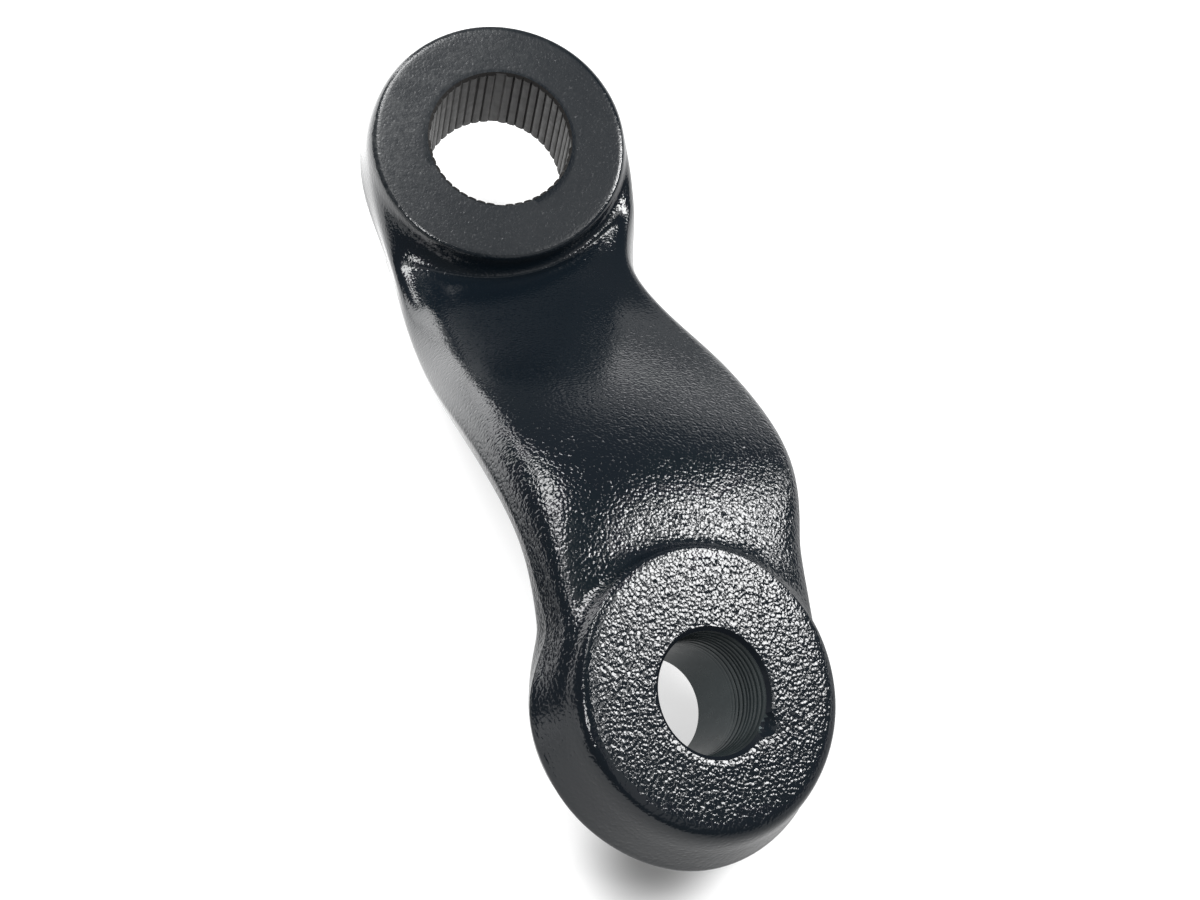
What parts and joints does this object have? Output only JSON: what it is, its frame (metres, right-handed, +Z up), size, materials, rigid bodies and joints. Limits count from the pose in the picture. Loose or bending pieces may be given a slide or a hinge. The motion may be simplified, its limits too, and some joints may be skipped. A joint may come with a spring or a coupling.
{
  "type": "pitman arm",
  "caption": "Dropped forged steering arm with a splined taper bore at one end and a ball-stud taper bore at the other, in gloss black.",
  "frame": {"origin": "on the surface that the arm lies on, under the centre of its bounding box", "axes": "+Z up from that surface, with both bosses' front faces leaning up; +Y from the ball-stud boss towards the shaft boss; +X to the right when looking along +Y"},
  "size_m": [0.0806, 0.265, 0.0641],
  "materials": {
    "coated_steel": "gloss black textured powder coat over forged steel"
  },
  "bodies": {
    "root": {"pitman_arm": "coated_steel"}
  },
  "joints": []
}
